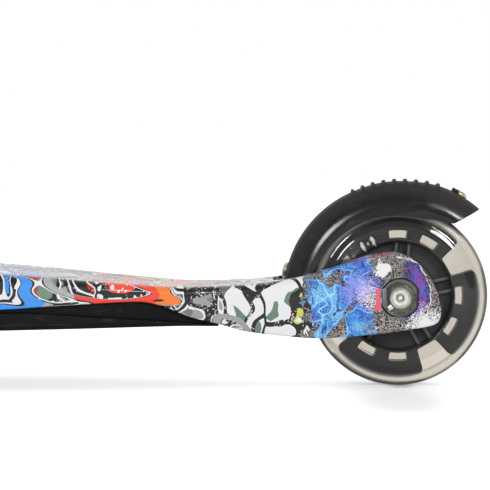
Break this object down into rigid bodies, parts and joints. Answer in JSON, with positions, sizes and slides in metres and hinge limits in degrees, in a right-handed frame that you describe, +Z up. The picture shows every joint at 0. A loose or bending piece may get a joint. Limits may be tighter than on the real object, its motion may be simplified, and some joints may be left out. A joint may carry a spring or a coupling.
{
  "type": "kick scooter",
  "caption": "Child's kick scooter with lean steering on a paired front axle, a printed moulded deck, a clear-tyred rear wheel under a step-on fender brake and a height-adjustable T-bar.",
  "frame": {"origin": "on the floor, under the middle of the scooter's bounding box", "axes": "+Z up, +X towards the rear wheel, -Y the rider's left and the side of the rear axle bolt's head"},
  "size_m": [0.564, 0.3, 0.6916],
  "materials": {
    "printed_nylon": "moulded black nylon with a glossy multicolour print and fine pale speckle",
    "black_plastic": "glossy moulded black plastic",
    "smoky_urethane": "clear smoky polyurethane, moulded, with fine turned grooves",
    "zinc_steel": "zinc-plated steel",
    "brushed_alloy": "brushed aluminium",
    "soft_rubber": "matt soft rubber"
  },
  "bodies": {
    "root": {"deck_shell": "printed_nylon", "belly_pan": "black_plastic", "pan_screw_1": "zinc_steel", "pan_screw_2": "zinc_steel", "pan_screw_3": "zinc_steel", "pan_screw_4": "zinc_steel", "axle_insert_left": "black_plastic", "axle_insert_right": "black_plastic", "rear_spacer_left": "brushed_alloy", "rear_spacer_right": "brushed_alloy", "rear_axle_bolt": "zinc_steel", "rear_axle_nut": "zinc_steel", "hinge_pin": "zinc_steel", "brake_spring": "zinc_steel", "steering_head": "black_plastic", "head_screw_left": "zinc_steel", "head_screw_right": "zinc_steel", "pivot_pin": "zinc_steel", "drive_pin": "zinc_steel", "lower_column": "brushed_alloy", "column_collar": "black_plastic", "clamp_bolt": "zinc_steel", "button_spring": "zinc_steel"},
    "rear_wheel": {"rear_wheel_core": "black_plastic", "rear_wheel_tyre": "smoky_urethane", "rear_wheel_bearing_left": "brushed_alloy", "rear_wheel_bearing_right": "brushed_alloy", "rear_wheel_bearing_spacer": "brushed_alloy"},
    "brake": {"fender": "black_plastic", "brake_pad": "zinc_steel", "fender_screw_rear": "zinc_steel", "fender_screw_front": "zinc_steel"},
    "truck": {"truck_beam": "brushed_alloy", "lean_spring_left": "zinc_steel", "lean_spring_right": "zinc_steel", "kingpin_left": "zinc_steel", "kingpin_right": "zinc_steel"},
    "knuckle_left": {"knuckle_left": "black_plastic", "front_axle_nut_left": "zinc_steel"},
    "knuckle_right": {"knuckle_right": "black_plastic", "front_axle_nut_right": "zinc_steel"},
    "front_wheel_left": {"front_wheel_left_core": "black_plastic", "front_wheel_left_tyre": "smoky_urethane", "front_wheel_left_bearing_left": "brushed_alloy", "front_wheel_left_bearing_right": "brushed_alloy", "front_wheel_left_bearing_spacer": "brushed_alloy"},
    "front_wheel_right": {"front_wheel_right_core": "black_plastic", "front_wheel_right_tyre": "smoky_urethane", "front_wheel_right_bearing_left": "brushed_alloy", "front_wheel_right_bearing_right": "brushed_alloy", "front_wheel_right_bearing_spacer": "brushed_alloy"},
    "tie_rod": {"tie_rod": "zinc_steel"},
    "handlebar": {"upper_column": "brushed_alloy", "bar_tube": "brushed_alloy", "grip_left": "soft_rubber", "grip_right": "soft_rubber"},
    "clamp_lever": {"clamp_lever": "black_plastic", "clamp_pin": "zinc_steel"},
    "release_button": {"release_button": "zinc_steel"}
  },
  "joints": [
    {"name": "rear_wheel_spin", "type": "hinge", "parent": "root", "child": "rear_wheel", "pos_m": [0.23225, 0, 0.04976], "axis": [0, 1, 0], "continuous": true},
    {"name": "brake_press", "type": "hinge", "parent": "root", "child": "brake", "pos_m": [0.17425, 0, 0.04376], "axis": [0, 1, 0], "range_deg": [0, 6], "stiffness_Nm_per_rad": 6, "springref_deg": -1.15, "deforming": ["brake_spring"]},
    {"name": "lean", "type": "hinge", "parent": "root", "child": "truck", "pos_m": [-0.22275, 0, 0.07926], "axis": [1, 0, 0], "range_deg": [-10, 10], "stiffness_Nm_per_rad": 40, "deforming": ["lean_spring_left", "lean_spring_right"]},
    {"name": "steer_left", "type": "hinge", "parent": "truck", "child": "knuckle_left", "pos_m": [-0.22275, -0.08, 0.05926], "axis": [0, 0, 1], "range_deg": [-9.7, 9.7]},
    {"name": "steer_right", "type": "hinge", "parent": "truck", "child": "knuckle_right", "pos_m": [-0.22275, 0.08, 0.05926], "axis": [0, 0, 1], "range_deg": [-9.7, 9.7]},
    {"name": "tie_rod_slide", "type": "slide", "parent": "truck", "child": "tie_rod", "axis": [0, 1, 0], "range_m": [-0.0042, 0.0042]},
    {"name": "front_wheel_left_spin", "type": "hinge", "parent": "knuckle_left", "child": "front_wheel_left", "pos_m": [-0.22275, -0.115, 0.05926], "axis": [0, 1, 0], "continuous": true},
    {"name": "front_wheel_right_spin", "type": "hinge", "parent": "knuckle_right", "child": "front_wheel_right", "pos_m": [-0.22275, 0.115, 0.05926], "axis": [0, 1, 0], "continuous": true},
    {"name": "handlebar_height", "type": "slide", "parent": "root", "child": "handlebar", "axis": [0.1736, 0, 0.9848], "range_m": [0, 0.14]},
    {"name": "clamp_lever_open", "type": "hinge", "parent": "root", "child": "clamp_lever", "pos_m": [-0.14551, -0.0133, 0.38811], "axis": [0.1736, 0, 0.9848], "range_deg": [0, 110]},
    {"name": "release_button_press", "type": "slide", "parent": "root", "child": "release_button", "axis": [0.9848, 0, -0.1736], "range_m": [0, 0.0056], "stiffness_N_per_m": 700, "springref_m": -0.003, "deforming": ["button_spring"]}
  ],
  "couplings": [
    {"joint": "tie_rod_slide", "follows": "lean", "m_per_rad": -0.0235},
    {"joint": "steer_left", "follows": "lean", "ratio": -0.95918},
    {"joint": "steer_right", "follows": "lean", "ratio": -0.95918}
  ]
}
